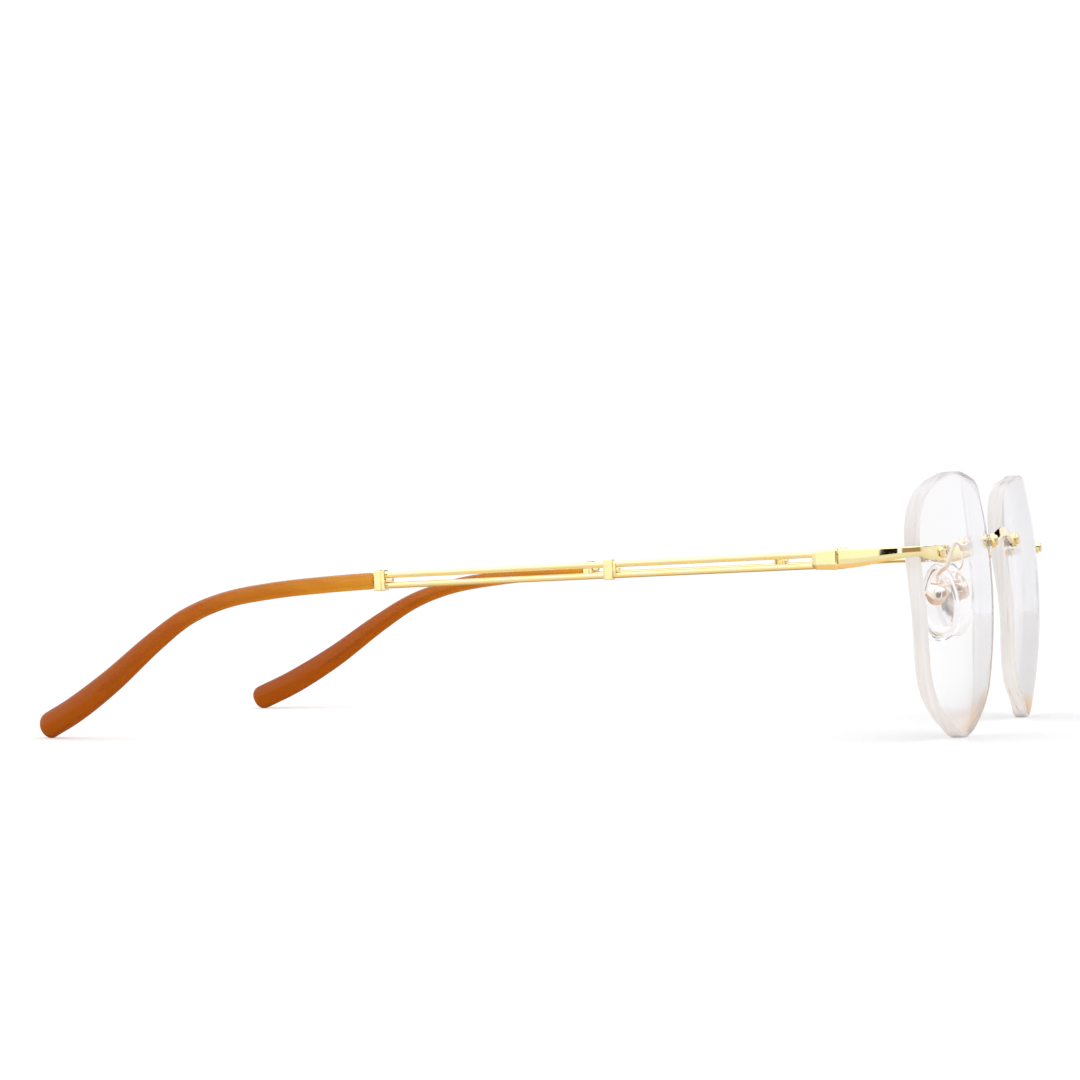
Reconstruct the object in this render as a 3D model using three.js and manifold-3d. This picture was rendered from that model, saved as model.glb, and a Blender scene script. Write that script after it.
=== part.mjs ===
// Rimless eyeglasses: two drilled lenses, a front-mounted bridge, screwed-on endpieces,
// double-wire temples with clasps, acetate tips on core wires, and screw-on nose pads.
//
// Units are millimetres. +Z is up, the lenses face -Y, the open temples run along +Y, and
// +X is the wearer's left. The glasses stand on the lens bottoms and the temple tips, with
// the floor at Z = 0 and X = 0 on the plane of symmetry. Each piece is drawn for the left
// side and mirrored for the right. The pieces are drawn with Y = 0 at the front of the
// lenses, and the assembly moves them forward so that the origin is under the middle.
import * as THREE from 'three';
import { mergeVertices } from 'three/addons/utils/BufferGeometryUtils.js';
import Module from 'manifold-3d';

const wasm = await Module();
wasm.setup();

// ---------------------------------------------------------------- driving dimensions
const FORWARD = 79.335;                   // from the front of the lenses to the middle

const LENS_THICK = 2.6;
const LENS_FRONT_R = 100;                 // base curve of both faces
const LENS_CENTRE_X = 33.4;
const LENS_CENTRE_Z = 22.23;
const LENS_WRAP = THREE.MathUtils.degToRad(3.7);    // temporal side swept back
const LENS_LEAN = THREE.MathUtils.degToRad(1.5);    // top leaning back
// outline radii from the boxing centre every 30 degrees: temporal, up, nasal, down
const LENS_RADII = [24.3, 27.2, 23.6, 21.8, 23.9, 27.8, 22.7, 23.2, 21.4, 22.1, 22.4, 24.7];
const LENS_SECTORS = 72;

const SCREW_R = 0.55;
const SLEEVE_R = 0.9;                     // plastic bushing in the lens hole
const LENS_HOLE_R = 1.0;
const FLANGE_R = 1.25;
const GAP = 0.06;                         // clearance between stacked pieces
const SEAT_GAP = 0.14;                    // clearance to the curved back of the lens
const TAB_THICK = 0.8;
const ENDPIECE_HOLE = { u: 19.8, v: 8.4 };
const BRIDGE_HOLE = { u: -21.1, v: 10.1 };

const HINGE = { x: 61.95, y: 17.25, z: 29.85 };     // pivot of the temple
const KNUCKLE_R = 1.1;
const HINGE_SCREW_R = 0.5;
const ARM_X = 64.2;                       // middle of the endpiece at the hinge

const TEMPLE_START = new THREE.Vector3(64.3, 17.42, 29.8);
const TEMPLE_END = new THREE.Vector3(66.0, 94.1, 26.75);
const WIRE_R = 0.52;
const WIRE_HALF_PITCH = 0.93;             // wires sit this far above and below the axis
const BLOCK_LENGTH = 4.1;
const BLOCK_HALF_WIDTH = 1.12;
const CLASP_AT = 36.6;                    // along the temple from its front face
const FERRULE_LENGTH = 1.9;

const TIP_BORE_R = 0.75;
const CORE_R = 0.6;

const PAD_BOX = new THREE.Vector3(14.2, 10.0, 23.3);
const PAD_SPLAY = THREE.MathUtils.degToRad(14);     // pad faces back as well as inwards
const PAD_FLARE = THREE.MathUtils.degToRad(17);     // pads are wider apart at the bottom
const PAD_BOX_R = 1.85;
const PAD_PIVOT_Z = -1.75;                // pad screw, behind the back of the pad
const PAD_SHIFT = { x: 0.7, y: -0.7 };    // centre of the pad from its post

// ---------------------------------------------------------------- materials
const finish = (color, roughness, metalness, extra = {}) =>
  new THREE.MeshStandardMaterial({ color, roughness, metalness, ...extra });
const gold = finish(0xd9b45c, 0.2, 1);
const goldScrew = finish(0xcfae62, 0.3, 1);
const lensGlass = finish(0xf2f5f8, 0.03, 0, { transparent: true, opacity: 0.35 });
const clearPlastic = finish(0xeeeeee, 0.15, 0, { transparent: true, opacity: 0.5 });
const silicone = finish(0xf1eff0, 0.25, 0, { transparent: true, opacity: 0.5 });
const acetate = finish(0xc97a20, 0.18, 0);
const steel = finish(0xb9b4a8, 0.35, 1);

// ---------------------------------------------------------------- geometry helpers
const v3 = (x, y, z) => new THREE.Vector3(x, y, z);

// closed mesh with its faces pointing out, from vertices and triangles
function closed(points, triangles) {
  let volume = 0;
  for (let i = 0; i < triangles.length; i += 3) {
    const [a, b, c] = [0, 1, 2].map((k) => points[triangles[i + k]]);
    volume += a.dot(b.clone().cross(c));
  }
  const index = [...triangles];
  if (volume < 0) {
    for (let i = 0; i < index.length; i += 3) {
      [index[i + 1], index[i + 2]] = [index[i + 2], index[i + 1]];
    }
  }
  const geometry = new THREE.BufferGeometry();
  geometry.setAttribute('position',
    new THREE.Float32BufferAttribute(points.flatMap((p) => p.toArray()), 3));
  geometry.setIndex(index);
  return geometry;
}

// skin over rings of equal length, with a fan at each end
function skin(rings) {
  const sides = rings[0].length;
  const points = rings.flat();
  const triangles = [];
  for (let r = 0; r + 1 < rings.length; r++) {
    for (let k = 0; k < sides; k++) {
      const a = r * sides + k;
      const b = r * sides + (k + 1) % sides;
      triangles.push(a, b, a + sides, b, b + sides, a + sides);
    }
  }
  for (const [r, flip] of [[0, true], [rings.length - 1, false]]) {
    const centre = rings[r].reduce((sum, p) => sum.add(p), v3(0, 0, 0)).divideScalar(sides);
    const hub = points.push(centre) - 1;
    for (let k = 0; k < sides; k++) {
      const a = r * sides + k;
      const b = r * sides + (k + 1) % sides;
      triangles.push(...(flip ? [hub, b, a] : [hub, a, b]));
    }
  }
  return closed(points, triangles);
}

// rounded ring: centre, half-width vector, half-height vector; square is 1 for an ellipse
function ring(centre, halfWidth, halfHeight, sides, square = 1) {
  const soft = (t) => Math.sign(t) * Math.abs(t) ** square;
  return Array.from({ length: sides }, (_, k) => {
    const angle = 2 * Math.PI * (k + 0.5) / sides;
    return centre.clone()
      .addScaledVector(halfWidth, soft(Math.cos(angle)))
      .addScaledVector(halfHeight, soft(Math.sin(angle)));
  });
}

// bar along stations [point, half-width, half-height], its height kept near vertical
function bar(stations, sides, square = 1, up = v3(0, 0, 1)) {
  const path = stations.map((s) => s[0]);
  return skin(stations.map(([p, width, height], i) => {
    const before = path[Math.max(i - 1, 0)];
    const after = path[Math.min(i + 1, path.length - 1)];
    const along = after.clone().sub(before).normalize();
    const side = along.clone().cross(up).normalize();
    const top = side.clone().cross(along).normalize();
    return ring(p, side.multiplyScalar(width), top.multiplyScalar(height), sides, square);
  }));
}

// round wire through points, smoothed
function wire(points, radius, sides, steps) {
  const curve = new THREE.CatmullRomCurve3(points);
  return bar(curve.getPoints(steps).map((p) => [p, radius, radius]), sides);
}

const solid = (geometry) => {
  const bare = geometry.clone();
  bare.deleteAttribute('normal');
  bare.deleteAttribute('uv');
  const merged = mergeVertices(bare, 1e-4);
  return new wasm.Manifold(new wasm.Mesh({
    numProp: 3,
    vertProperties: new Float32Array(merged.attributes.position.array),
    triVerts: new Uint32Array(merged.index.array),
  }));
};

function fromSolid(manifold) {
  const mesh = manifold.getMesh();
  const geometry = new THREE.BufferGeometry();
  geometry.setAttribute('position', new THREE.Float32BufferAttribute(mesh.vertProperties, 3));
  geometry.setIndex([...mesh.triVerts]);
  return geometry;
}

const join = (...parts) => fromSolid(parts.map(solid).reduce((a, b) => a.add(b)));
const cut = (body, ...tools) =>
  fromSolid(tools.map(solid).reduce((a, b) => a.subtract(b), solid(body)));

// cylinder with its axis along local Z, from z0 to z1
function drum(radius, z0, z1, sides = 16, topRadius = radius) {
  return new THREE.CylinderGeometry(topRadius, radius, z1 - z0, sides)
    .rotateX(Math.PI / 2).translate(0, 0, (z0 + z1) / 2);
}

const block = (w, d, h, x = 0, y = 0, z = 0) => new THREE.BoxGeometry(w, d, h).translate(x, y, z);

// box along local Y whose corners are cut at both ends; chamfer is the size of the cut
function clasp(width, length, height, chamfer) {
  const inner = [width / 2 - chamfer, height / 2 - chamfer];
  const ends = [[-length / 2, ...inner], [-length / 2 + chamfer, width / 2, height / 2],
    [length / 2 - chamfer, width / 2, height / 2], [length / 2, ...inner]];
  return skin(ends.map(([y, w, h]) => ring(v3(0, y, 0), v3(w, 0, 0), v3(0, 0, h), 12, 0.45)));
}

// ---------------------------------------------------------------- lens surface and frames
const lensPose = new THREE.Matrix4().makeTranslation(LENS_CENTRE_X, 0, LENS_CENTRE_Z)
  .multiply(new THREE.Matrix4().makeRotationZ(LENS_WRAP))
  .multiply(new THREE.Matrix4().makeRotationX(-LENS_LEAN));

const sag = (u, v) => LENS_FRONT_R - Math.sqrt(LENS_FRONT_R ** 2 - u * u - v * v);

function lensPoint(u, v, depth = 0) {
  return v3(u, sag(u, v) + depth, v).applyMatrix4(lensPose);
}

// frame on the front face of the lens: X temporal, Y up, Z out of the face
function lensFrame({ u, v }) {
  const step = 0.01;
  const origin = lensPoint(u, v);
  const x = lensPoint(u + step, v).sub(origin).normalize();
  const z = x.clone().cross(lensPoint(u, v + step).sub(origin)).normalize();
  const y = z.clone().cross(x);
  return new THREE.Matrix4().makeBasis(x, y, z).setPosition(origin);
}

const endpieceFrame = lensFrame(ENDPIECE_HOLE);
const bridgeFrame = lensFrame(BRIDGE_HOLE);
const inFrame = (frame, geometry) => geometry.applyMatrix4(frame);
const at = (frame, x, y, z) => v3(x, y, z).applyMatrix4(frame);

// ---------------------------------------------------------------- lens
// outline radius in a direction: trigonometric interpolation of the evenly spaced radii
function outlineRadius(angle) {
  const count = LENS_RADII.length;
  return LENS_RADII.reduce((sum, r, i) => {
    const offset = angle - 2 * Math.PI * i / count;
    let weight = 1 + Math.cos(offset * count / 2);
    for (let k = 1; k < count / 2; k++) weight += 2 * Math.cos(k * offset);
    return sum + r * weight / count;
  }, 0);
}

function lensOutline() {
  return Array.from({ length: LENS_SECTORS }, (_, i) => {
    const angle = 2 * Math.PI * i / LENS_SECTORS;
    const r = outlineRadius(angle);
    return v3(r * Math.cos(angle), r * Math.sin(angle), 0);
  });
}

function lens() {
  const rim = lensOutline();
  // the middle ring runs through the drilled holes, so the faces are true under the washers
  const layers = [[0.42, 0], [0.84, 0], [1, 0], [1, LENS_THICK], [0.84, LENS_THICK],
    [0.42, LENS_THICK]];
  const body = skin(layers.map(([scale, depth]) =>
    rim.map((p) => lensPoint(p.x * scale, p.y * scale, depth))));
  const holes = [endpieceFrame, bridgeFrame]
    .map((frame) => inFrame(frame, drum(LENS_HOLE_R, -LENS_THICK - 2, 2)));
  return cut(body, ...holes);
}

// ---------------------------------------------------------------- screw stacks
const STACK = {
  flange: [GAP, 0.34],                    // bushing flange on the front face
  tab: [0.4, 0.4 + TAB_THICK],            // metal tab
  back: -LENS_THICK + 0.02,               // back face of the lens along the screw
};

function bushing() {
  const shell = join(drum(FLANGE_R, ...STACK.flange), drum(SLEEVE_R, STACK.back + 0.2, 0.2));
  return cut(shell, drum(SCREW_R + 0.1, -4, 2));
}

function backWasher() {
  return cut(drum(FLANGE_R, STACK.back - 0.4, STACK.back - SEAT_GAP), drum(SCREW_R + 0.1, -6, 2));
}

// slotted screw whose head sits on the tab; length is measured below the lens front face
function tabScrew(length) {
  const top = STACK.tab[1] + GAP;
  const head = skin([[0.9, 0], [0.9, 0.22], [0.7, 0.42], [0.35, 0.5]].map(([r, z]) =>
    ring(v3(0, 0, top + z), v3(r, 0, 0), v3(0, r, 0), 16)));
  const slot = block(3, 0.22, 0.4, 0, 0, top + 0.5);
  return cut(join(head, drum(SCREW_R, -length, top + 0.1, 12)), slot);
}

// hole through a tab, with room above it for the screw head
const tabHole = () => join(drum(SCREW_R + 0.08, -1, 3), drum(1.0, STACK.tab[1], 3));

// cap nut: round body with a domed end and a blind hole
function capNut(start, radius, height) {
  const rings = [[1, 0], [1, 0.6], [0.8, 0.85], [0.42, 1]].map(([across, down]) => {
    const r = radius * across;
    return ring(v3(0, 0, start - height * down), v3(r, 0, 0), v3(0, r, 0), 12);
  });
  return cut(skin(rings), drum(SCREW_R + 0.06, start - height * 0.74, start + 1, 12));
}

// ---------------------------------------------------------------- endpiece
function endpiece() {
  const mid = (STACK.tab[0] + STACK.tab[1]) / 2;
  const half = TAB_THICK / 2;
  const tab = (x, height) => [at(endpieceFrame, x, 0, mid), half, height];
  const stations = [
    tab(-1.2, 0.3), tab(-1.1, 0.65), tab(-0.75, 0.98), tab(-0.2, 1.12), tab(1.5, 1.12),
    [at(endpieceFrame, 3.4, 0, mid), half, 1.08],
    [at(endpieceFrame, 5.2, 0.1, mid), half + 0.05, 0.92],
    [v3(60.2, 5.2, 30.95), 0.5, 0.8],
    [v3(61.7, 6.5, 30.85), 0.55, 0.85],
    [v3(62.9, 8.4, 30.65), 0.6, 0.98],
    [v3(63.6, 10.8, 30.4), 0.68, 1.17],
    [v3(64.0, 13.6, 30.08), 0.82, 1.42],
    [v3(ARM_X, 15.6, 29.93), 0.95, 1.56],
    [v3(ARM_X, HINGE.y - 0.12, 29.86), 1.0, 1.6],
  ];
  const arm = bar(stations, 12, 0.6);
  // upper and lower knuckles with the lugs that carry them
  const knuckles = [[30.56, 31.3], [28.4, 29.14]].flatMap(([low, high]) => [
    drum(KNUCKLE_R, low, high).translate(HINGE.x, HINGE.y, 0),
    block(2.2, 0.95, high - low, HINGE.x + 1.1, HINGE.y - 0.62, (low + high) / 2),
  ]);
  const bore = drum(HINGE_SCREW_R + 0.08, 20, 40).translate(HINGE.x, HINGE.y, 0);
  const hole = inFrame(endpieceFrame, tabHole());
  return cut(join(arm, ...knuckles), bore, hole);
}

// ---------------------------------------------------------------- hinge and temple
function hingeScrew() {
  const top = 31.34;
  const head = drum(0.85, top, top + 0.35, 12, 0.7);
  const slot = block(2, 0.2, 0.3, 0, 0, top + 0.35);
  return cut(join(head, drum(HINGE_SCREW_R, 28.2, top + 0.1, 12)), slot)
    .translate(HINGE.x, HINGE.y, 0);
}

// temple frame: origin at its front face, Y along the temple, X outwards
const along = TEMPLE_END.clone().sub(TEMPLE_START);
const templeLength = along.length();
const templeFrame = (() => {
  const y = along.clone().normalize();
  const x = y.clone().cross(v3(0, 0, 1)).normalize();
  return new THREE.Matrix4().makeBasis(x, y, x.clone().cross(y)).setPosition(TEMPLE_START);
})();

function templeBlock() {
  const stations = [[0, 0.95, 1.56], [0.3, BLOCK_HALF_WIDTH, 1.68],
    [BLOCK_LENGTH - 0.7, BLOCK_HALF_WIDTH, 1.52], [BLOCK_LENGTH, 0.75, 1.25]]
    .map(([y, w, h]) => ring(v3(0, y, 0), v3(w, 0, 0), v3(0, 0, h), 12, 0.5));
  const body = inFrame(templeFrame, skin(stations));
  const knuckle = drum(KNUCKLE_R, 29.2, 30.5).translate(HINGE.x, HINGE.y, 0);
  const lug = block(2.2, 0.95, 1.3, HINGE.x + 1.1, HINGE.y + 0.65, 29.85);
  const bore = drum(HINGE_SCREW_R + 0.08, 20, 40).translate(HINGE.x, HINGE.y, 0);
  return cut(join(body, knuckle, lug), bore);
}

const WIRE_FROM = BLOCK_LENGTH + 0.08;
const WIRE_TO = templeLength - FERRULE_LENGTH - 0.08;

// the two wires draw together a little towards the rear
function templeWire(sign) {
  const pitch = (y) => sign * (WIRE_HALF_PITCH - 0.08 * y / templeLength);
  const ends = [WIRE_FROM, WIRE_TO].map((y) => [v3(0, y, pitch(y)), WIRE_R, WIRE_R]);
  return inFrame(templeFrame, bar(ends, 12));
}

function midClasp() {
  const body = join(clasp(2.1, 1.6, 3.3, 0.28), block(1.2, 1.2, 0.5, 0, -1.2, 0));
  const channels = [1, -1].map((sign) =>
    drum(WIRE_R + 0.1, -3, 3, 12).rotateX(Math.PI / 2)
      .translate(0, 0, sign * (WIRE_HALF_PITCH - 0.04)));
  return inFrame(templeFrame, cut(body, ...channels).translate(0, CLASP_AT + 0.8, 0));
}

function ferrule() {
  const middle = templeLength - FERRULE_LENGTH / 2;
  const body = join(clasp(2.7, FERRULE_LENGTH, 3.4, 0.3), block(1.2, 1.4, 0.5, 0, -1.4, 0));
  const socket = drum(CORE_R + 0.1, -1, 1.3, 12).rotateX(Math.PI / 2)
    .translate(0, FERRULE_LENGTH / 2, 0);
  return inFrame(templeFrame, cut(body, socket).translate(0, middle, 0));
}

// ---------------------------------------------------------------- acetate tip and core
const tipPath = new THREE.CatmullRomCurve3([
  at(templeFrame, 0, templeLength + 0.12, 0),
  v3(66.0, 102, 26.2), v3(65.5, 112, 25.2), v3(64.3, 121, 23.6), v3(62.8, 128.2, 20.9),
  v3(61.1, 134.6, 16.8), v3(58.4, 144.0, 9.7), v3(55.8, 151.6, 4.85), v3(53.9, 156.6, 2.3),
], false, 'centripetal');

function tipStations(from, to, count, width, height) {
  return Array.from({ length: count }, (_, i) => {
    const t = from + (to - from) * i / (count - 1);
    return [tipPath.getPointAt(t), width(t), height(t)];
  });
}

function templeTip() {
  const swell = (t) => THREE.MathUtils.smoothstep(t, 0.35, 0.95);
  const width = (t) => 1.38 + 0.32 * swell(t);
  const height = (t) => 1.4 + 0.92 * swell(t);
  const stations = tipStations(0, 1, 22, width, height);
  const last = stations[stations.length - 1][0];
  const heading = tipPath.getTangentAt(1);
  for (const [step, scale] of [[0.9, 0.93], [1.6, 0.75], [2.1, 0.45], [2.25, 0.18]]) {
    stations.push([last.clone().addScaledVector(heading, step), width(1) * scale,
      height(1) * scale]);
  }
  const bore = tipStations(0, 0.84, 16, () => TIP_BORE_R, () => TIP_BORE_R);
  const mouth = at(templeFrame, 0, templeLength - 0.6, 0);
  bore.unshift([mouth, TIP_BORE_R, TIP_BORE_R]);
  return cut(bar(stations, 16), bar(bore, 8));
}

function tipCore() {
  const stations = tipStations(0.002, 0.78, 16, () => CORE_R, () => CORE_R);
  const tail = tipPath.getPointAt(0.82);
  stations.push([tail, 0.12, 0.12]);
  stations.unshift([at(templeFrame, 0, templeLength - 1.1, 0), CORE_R, CORE_R]);
  return bar(stations, 8);
}

// ---------------------------------------------------------------- bridge
function bridge() {
  const mid = (STACK.tab[0] + STACK.tab[1]) / 2;
  const tab = (sign) => {
    const disc = inFrame(bridgeFrame, drum(1.25, ...STACK.tab, 16));
    return sign > 0 ? disc : mirrored(disc);
  };
  const root = at(bridgeFrame, 0.2, 0.1, mid);
  const half = [[root, 0.38, 0.9], [v3(10.4, 0.95, 32.5), 0.38, 0.85],
    [v3(8.2, 0.9, 32.9), 0.38, 0.8], [v3(5.6, 0.85, 33.4), 0.38, 0.8],
    [v3(2.8, 0.85, 33.75), 0.38, 0.8]];
  const flip = ([p, w, h]) => [v3(-p.x, p.y, p.z), w, h];
  const arch = [...half, [v3(0, 0.85, 33.85), 0.38, 0.8], ...half.map(flip).reverse()];
  const hole = inFrame(bridgeFrame, tabHole());
  return cut(join(bar(arch, 10, 0.8), tab(1), tab(-1)), hole, mirrored(hole));
}

// ---------------------------------------------------------------- nose pads
const padFrame = (() => {
  const z = v3(-Math.cos(PAD_SPLAY) * Math.cos(PAD_FLARE),
    Math.sin(PAD_SPLAY) * Math.cos(PAD_FLARE), -Math.sin(PAD_FLARE));
  const x = v3(0, 0, 1).cross(z).normalize();
  const y = z.clone().cross(x);
  const origin = PAD_BOX.clone().addScaledVector(z, 2.05);
  return new THREE.Matrix4().makeBasis(x, y, z).setPosition(origin);
})();

// the arm starts in an eyelet on the bridge screw, behind the lens
function padArm() {
  const plate = [STACK.back - 0.98, STACK.back - 0.46];
  const eyelet = drum(1.2, ...plate);
  const depth = (plate[0] + plate[1]) / 2;
  const end = at(padFrame, 0, PAD_BOX_R + 0.1, -2.15);
  const bend = wire([at(bridgeFrame, 0.9, -0.1, depth), at(bridgeFrame, 1.8, -0.2, depth - 0.1),
    at(bridgeFrame, 2.15, -0.3, depth - 0.9), v3(14.65, 6.7, 32.1), v3(14.65, 7.5, 30.8),
    v3(14.5, 8.5, 28.0), end.clone().add(v3(0.05, -0.25, 1.3)), end], 0.38, 8, 17);
  return cut(join(inFrame(bridgeFrame, eyelet), bend),
    inFrame(bridgeFrame, drum(SCREW_R + 0.1, -8, 0)));
}

function padBox() {
  const cup = skin([[1.35, -3.0], [1.72, -2.85], [PAD_BOX_R, -2.5], [PAD_BOX_R, -1.2]]
    .map(([r, z]) => ring(v3(0, 0, z), v3(r, 0, 0), v3(0, r, 0), 16)));
  const cavity = drum(1.35, -2.45, 0, 16);
  const bore = drum(0.42, -3, 3, 10).rotateY(Math.PI / 2).translate(0, 0, PAD_PIVOT_Z);
  return inFrame(padFrame, cut(cup, cavity, bore));
}

function padScrew() {
  const shaft = drum(0.32, -1.95, 1.95, 10);
  const head = drum(0.55, 1.93, 2.2, 12);
  return inFrame(padFrame, join(shaft, head).rotateY(-Math.PI / 2)
    .translate(0, 0, PAD_PIVOT_Z));
}

// teardrop silicone pad, domed towards the nose, with the post that enters the box
function nosePad() {
  const outline = (scale, z) => Array.from({ length: 24 }, (_, k) => {
    const angle = 2 * Math.PI * k / 24;
    const narrow = 1 - 0.18 * Math.sin(angle);
    return v3(PAD_SHIFT.x + 3.45 * scale * narrow * Math.cos(angle),
      PAD_SHIFT.y + 6.85 * scale * Math.sin(angle), z);
  });
  const body = skin([outline(0.82, 0), outline(0.95, 0.35), outline(1, 0.95),
    outline(0.93, 1.6), outline(0.7, 2.15), outline(0.35, 2.4)]);
  const post = block(1.3, 1.5, 2.4, 0, 0, PAD_PIVOT_Z + 0.7);
  const bore = drum(0.42, -2, 2, 10).rotateY(Math.PI / 2).translate(0, 0, PAD_PIVOT_Z);
  return inFrame(padFrame, cut(join(body, post), bore));
}

// ---------------------------------------------------------------- assembly
function mirrored(geometry) {
  const copy = geometry.clone().scale(-1, 1, 1);
  const index = [...(copy.index?.array ?? copy.attributes.position.array.keys())];
  for (let i = 0; i < index.length; i += 3) [index[i], index[i + 1]] = [index[i + 1], index[i]];
  copy.setIndex(index);
  return copy;
}

const glasses = new THREE.Group();
glasses.name = 'rimless_eyeglasses';

function addMesh(name, geometry, material) {
  const mesh = new THREE.Mesh(geometry.clone().translate(0, -FORWARD, 0), material);
  mesh.name = name;
  glasses.add(mesh);
}

function addPair(name, geometry, material) {
  addMesh(`left_${name}`, geometry, material);
  addMesh(`right_${name}`, mirrored(geometry), material);
}

addMesh('bridge', bridge(), gold);
addPair('lens', lens(), lensGlass);
addPair('bridge_screw', inFrame(bridgeFrame, tabScrew(4.6)), goldScrew);
addPair('bridge_bushing', inFrame(bridgeFrame, bushing()), clearPlastic);
addPair('bridge_washer', inFrame(bridgeFrame, backWasher()), clearPlastic);
addPair('bridge_nut', inFrame(bridgeFrame, capNut(STACK.back - 1.04, 1.2, 1.35)), goldScrew);
addPair('pad_arm', padArm(), gold);
addPair('pad_box', padBox(), gold);
addPair('pad_screw', padScrew(), goldScrew);
addPair('nose_pad', nosePad(), silicone);
addPair('endpiece', endpiece(), gold);
addPair('endpiece_screw', inFrame(endpieceFrame, tabScrew(3.6)), goldScrew);
addPair('endpiece_bushing', inFrame(endpieceFrame, bushing()), clearPlastic);
addPair('endpiece_washer', inFrame(endpieceFrame, backWasher()), clearPlastic);
addPair('endpiece_nut', inFrame(endpieceFrame, capNut(STACK.back - 0.46, 0.95, 0.95)), goldScrew);
addPair('hinge_screw', hingeScrew(), goldScrew);
addPair('temple_block', templeBlock(), gold);
addPair('temple_wire_upper', templeWire(1), gold);
addPair('temple_wire_lower', templeWire(-1), gold);
addPair('temple_clasp', midClasp(), gold);
addPair('temple_ferrule', ferrule(), gold);
addPair('tip_core', tipCore(), steel);
addPair('temple_tip', templeTip(), acetate);

export default glasses;
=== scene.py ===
"""Rimless eyeglasses: the detailed pieces, materials, light and camera around the CAD frame.

Lengths are in millimetres until a mesh is made. The pieces are drawn for the left side with
Y = 0 at the front of the lenses, then moved forward into the row frame. The right side is
the mirror image.
"""
import math

import bmesh
import bpy
import numpy as np
from mathutils import Matrix, Vector


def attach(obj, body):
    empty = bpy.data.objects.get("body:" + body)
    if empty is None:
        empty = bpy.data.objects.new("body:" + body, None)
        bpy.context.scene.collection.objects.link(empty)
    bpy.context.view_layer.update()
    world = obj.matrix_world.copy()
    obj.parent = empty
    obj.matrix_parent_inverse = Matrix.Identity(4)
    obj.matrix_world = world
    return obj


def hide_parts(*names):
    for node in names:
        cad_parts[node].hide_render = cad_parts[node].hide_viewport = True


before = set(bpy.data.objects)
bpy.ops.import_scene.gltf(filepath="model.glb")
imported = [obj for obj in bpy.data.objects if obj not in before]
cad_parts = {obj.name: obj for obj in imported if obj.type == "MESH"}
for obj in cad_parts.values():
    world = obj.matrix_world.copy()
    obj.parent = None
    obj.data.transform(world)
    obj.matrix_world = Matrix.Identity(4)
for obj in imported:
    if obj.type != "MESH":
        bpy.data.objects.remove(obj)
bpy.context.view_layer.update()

MM = 0.001
FORWARD = 79.335            # from the front of the lenses to the origin

# ------------------------------------------------------------------ driving dimensions
LENS_THICK = 2.6
LENS_FRONT_R = 100.0
LENS_CENTRE = (33.4, 0.0, 22.23)
LENS_WRAP = math.radians(3.7)
LENS_LEAN = math.radians(1.5)
# outline radii every 30 degrees: temporal, up, nasal, down
LENS_RADII = (24.3, 27.2, 23.6, 21.8, 23.9, 27.8, 22.7, 23.2, 21.4, 22.1, 22.4, 24.7)
LENS_HOLE_R = 1.0
EDGE_CHAMFER = 0.22

SCREW_R = 0.55
SLEEVE_R = 0.9
FLANGE_R = 1.25
GAP = 0.06
SEAT_GAP = 0.14
TAB = (0.4, 1.2)            # back and front of a tab above the lens
TAB_MID = 0.8
LENS_BACK = -LENS_THICK + 0.02
ENDPIECE_HOLE = (19.8, 8.4)
BRIDGE_HOLE = (-21.1, 10.1)

HINGE = (61.95, 17.25, 29.85)
KNUCKLE_R = 1.1
HINGE_SCREW_R = 0.5
ARM_X = 64.2

TEMPLE_START = np.array((64.3, 17.42, 29.8))
TEMPLE_END = np.array((66.0, 94.1, 26.75))
WIRE_R = 0.52
WIRE_HALF_PITCH = 0.93
BLOCK_LENGTH = 4.1
CLASP_AT = 36.6
FERRULE_LENGTH = 1.9
CORE_R = 0.6

PAD_BOX = np.array((14.2, 10.0, 23.3))
PAD_SPLAY = math.radians(14)
PAD_FLARE = math.radians(17)
PAD_BOX_R = 1.85
PAD_PIVOT_Z = -1.75


# ------------------------------------------------------------------ geometry helpers
def unit(a):
    a = np.asarray(a, float)
    return a / np.linalg.norm(a)


def basis(x, y, z, origin):
    m = np.eye(4)
    m[:3, 0], m[:3, 1], m[:3, 2], m[:3, 3] = x, y, z, origin
    return m


def at(m, x, y, z):
    return m[:3, :3] @ np.array((x, y, z), float) + m[:3, 3]


class Shape:
    """Vertices in millimetres, faces, and one material number for each face."""

    def __init__(self, verts, faces, mats=None):
        self.verts = np.asarray(verts, float)
        self.faces = [tuple(int(i) for i in f) for f in faces]
        self.mats = list(mats) if mats is not None else [0] * len(self.faces)

    def __add__(self, other):
        n = len(self.verts)
        faces = self.faces + [tuple(i + n for i in f) for f in other.faces]
        return Shape(np.vstack([self.verts, other.verts]), faces, self.mats + other.mats)

    def moved(self, m):
        return Shape(self.verts @ m[:3, :3].T + m[:3, 3], self.faces, self.mats)

    def shifted(self, x=0.0, y=0.0, z=0.0):
        return Shape(self.verts + np.array((x, y, z)), self.faces, self.mats)

    def mirrored(self):
        return Shape(self.verts * (-1, 1, 1), [f[::-1] for f in self.faces], self.mats)


def skin(rings, loop=False, caps=True):
    """Skin over rings with equal numbers of points."""
    sides, count = len(rings[0]), len(rings)
    faces = []
    for i in range(count if loop else count - 1):
        a, b = i * sides, ((i + 1) % count) * sides
        for k in range(sides):
            j = (k + 1) % sides
            faces.append((a + k, a + j, b + j, b + k))
    if caps and not loop:
        faces.append(tuple(reversed(range(sides))))
        faces.append(tuple((count - 1) * sides + k for k in range(sides)))
    return Shape(np.vstack(rings), faces)


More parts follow.
